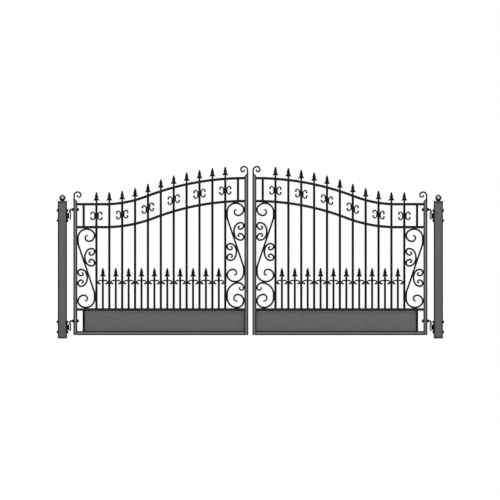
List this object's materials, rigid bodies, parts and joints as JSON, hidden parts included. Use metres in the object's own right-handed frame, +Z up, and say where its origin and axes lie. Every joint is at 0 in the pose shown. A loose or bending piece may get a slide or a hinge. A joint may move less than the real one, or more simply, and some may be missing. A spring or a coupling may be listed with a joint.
{
  "type": "double-leaf wrought iron driveway gate",
  "caption": "Pair of swinging driveway gate leaves with spear-topped pickets, scrollwork and kick panels, hung between two square posts on pintle hinges.",
  "frame": {"origin": "middle of the left post's foot, at ground level", "axes": "+X along the closed gate to the right post, +Y away from the side the hinges and leaves are seen from, +Z up"},
  "size_m": [3.844, 0.094, 1.721],
  "materials": {
    "posts": "satin graphite powder coat",
    "frame": "satin dark graphite powder coat",
    "panel": "satin graphite powder coat on sheet",
    "bars": "satin black powder coat",
    "scrolls": "satin black over hammered bar",
    "castings": "satin black over cast iron",
    "hardware": "black, rubbed at the moving faces"
  },
  "bodies": {
    "posts": {"left_post": "posts", "right_post": "posts", "post_caps": "castings", "hinge_brackets": "hardware"},
    "left_leaf": {"left_hinge_stile": "frame", "left_meeting_stile": "frame", "left_bottom_rail": "frame", "left_panel_rail": "frame", "left_kick_panel": "panel", "left_panel_end_bar": "bars", "left_upper_arch": "bars", "left_lower_arch": "bars", "left_pickets": "bars", "left_arch_struts": "bars", "left_dog_bars": "bars", "left_spear_points": "castings", "left_dog_bar_hooks": "scrolls", "left_c_scroll_pairs": "scrolls", "left_s_scrolls": "scrolls", "left_c_scrolls": "scrolls", "left_stile_curls": "scrolls", "left_hinge_pintles": "hardware"},
    "right_leaf": {"right_hinge_stile": "frame", "right_meeting_stile": "frame", "right_bottom_rail": "frame", "right_panel_rail": "frame", "right_kick_panel": "panel", "right_panel_end_bar": "bars", "right_upper_arch": "bars", "right_lower_arch": "bars", "right_pickets": "bars", "right_arch_struts": "bars", "right_dog_bars": "bars", "right_spear_points": "castings", "right_dog_bar_hooks": "scrolls", "right_c_scroll_pairs": "scrolls", "right_s_scrolls": "scrolls", "right_c_scrolls": "scrolls", "right_stile_curls": "scrolls", "right_hinge_pintles": "hardware"}
  },
  "joints": [
    {"name": "left_leaf_hinge", "type": "hinge", "parent": "posts", "child": "left_leaf", "pos_m": [0.075, 0, 0], "axis": [0, 0, 1], "range_deg": [-90, 90]},
    {"name": "right_leaf_hinge", "type": "hinge", "parent": "posts", "child": "right_leaf", "pos_m": [3.675, 0, 0], "axis": [0, 0, 1], "range_deg": [-90, 90]}
  ]
}
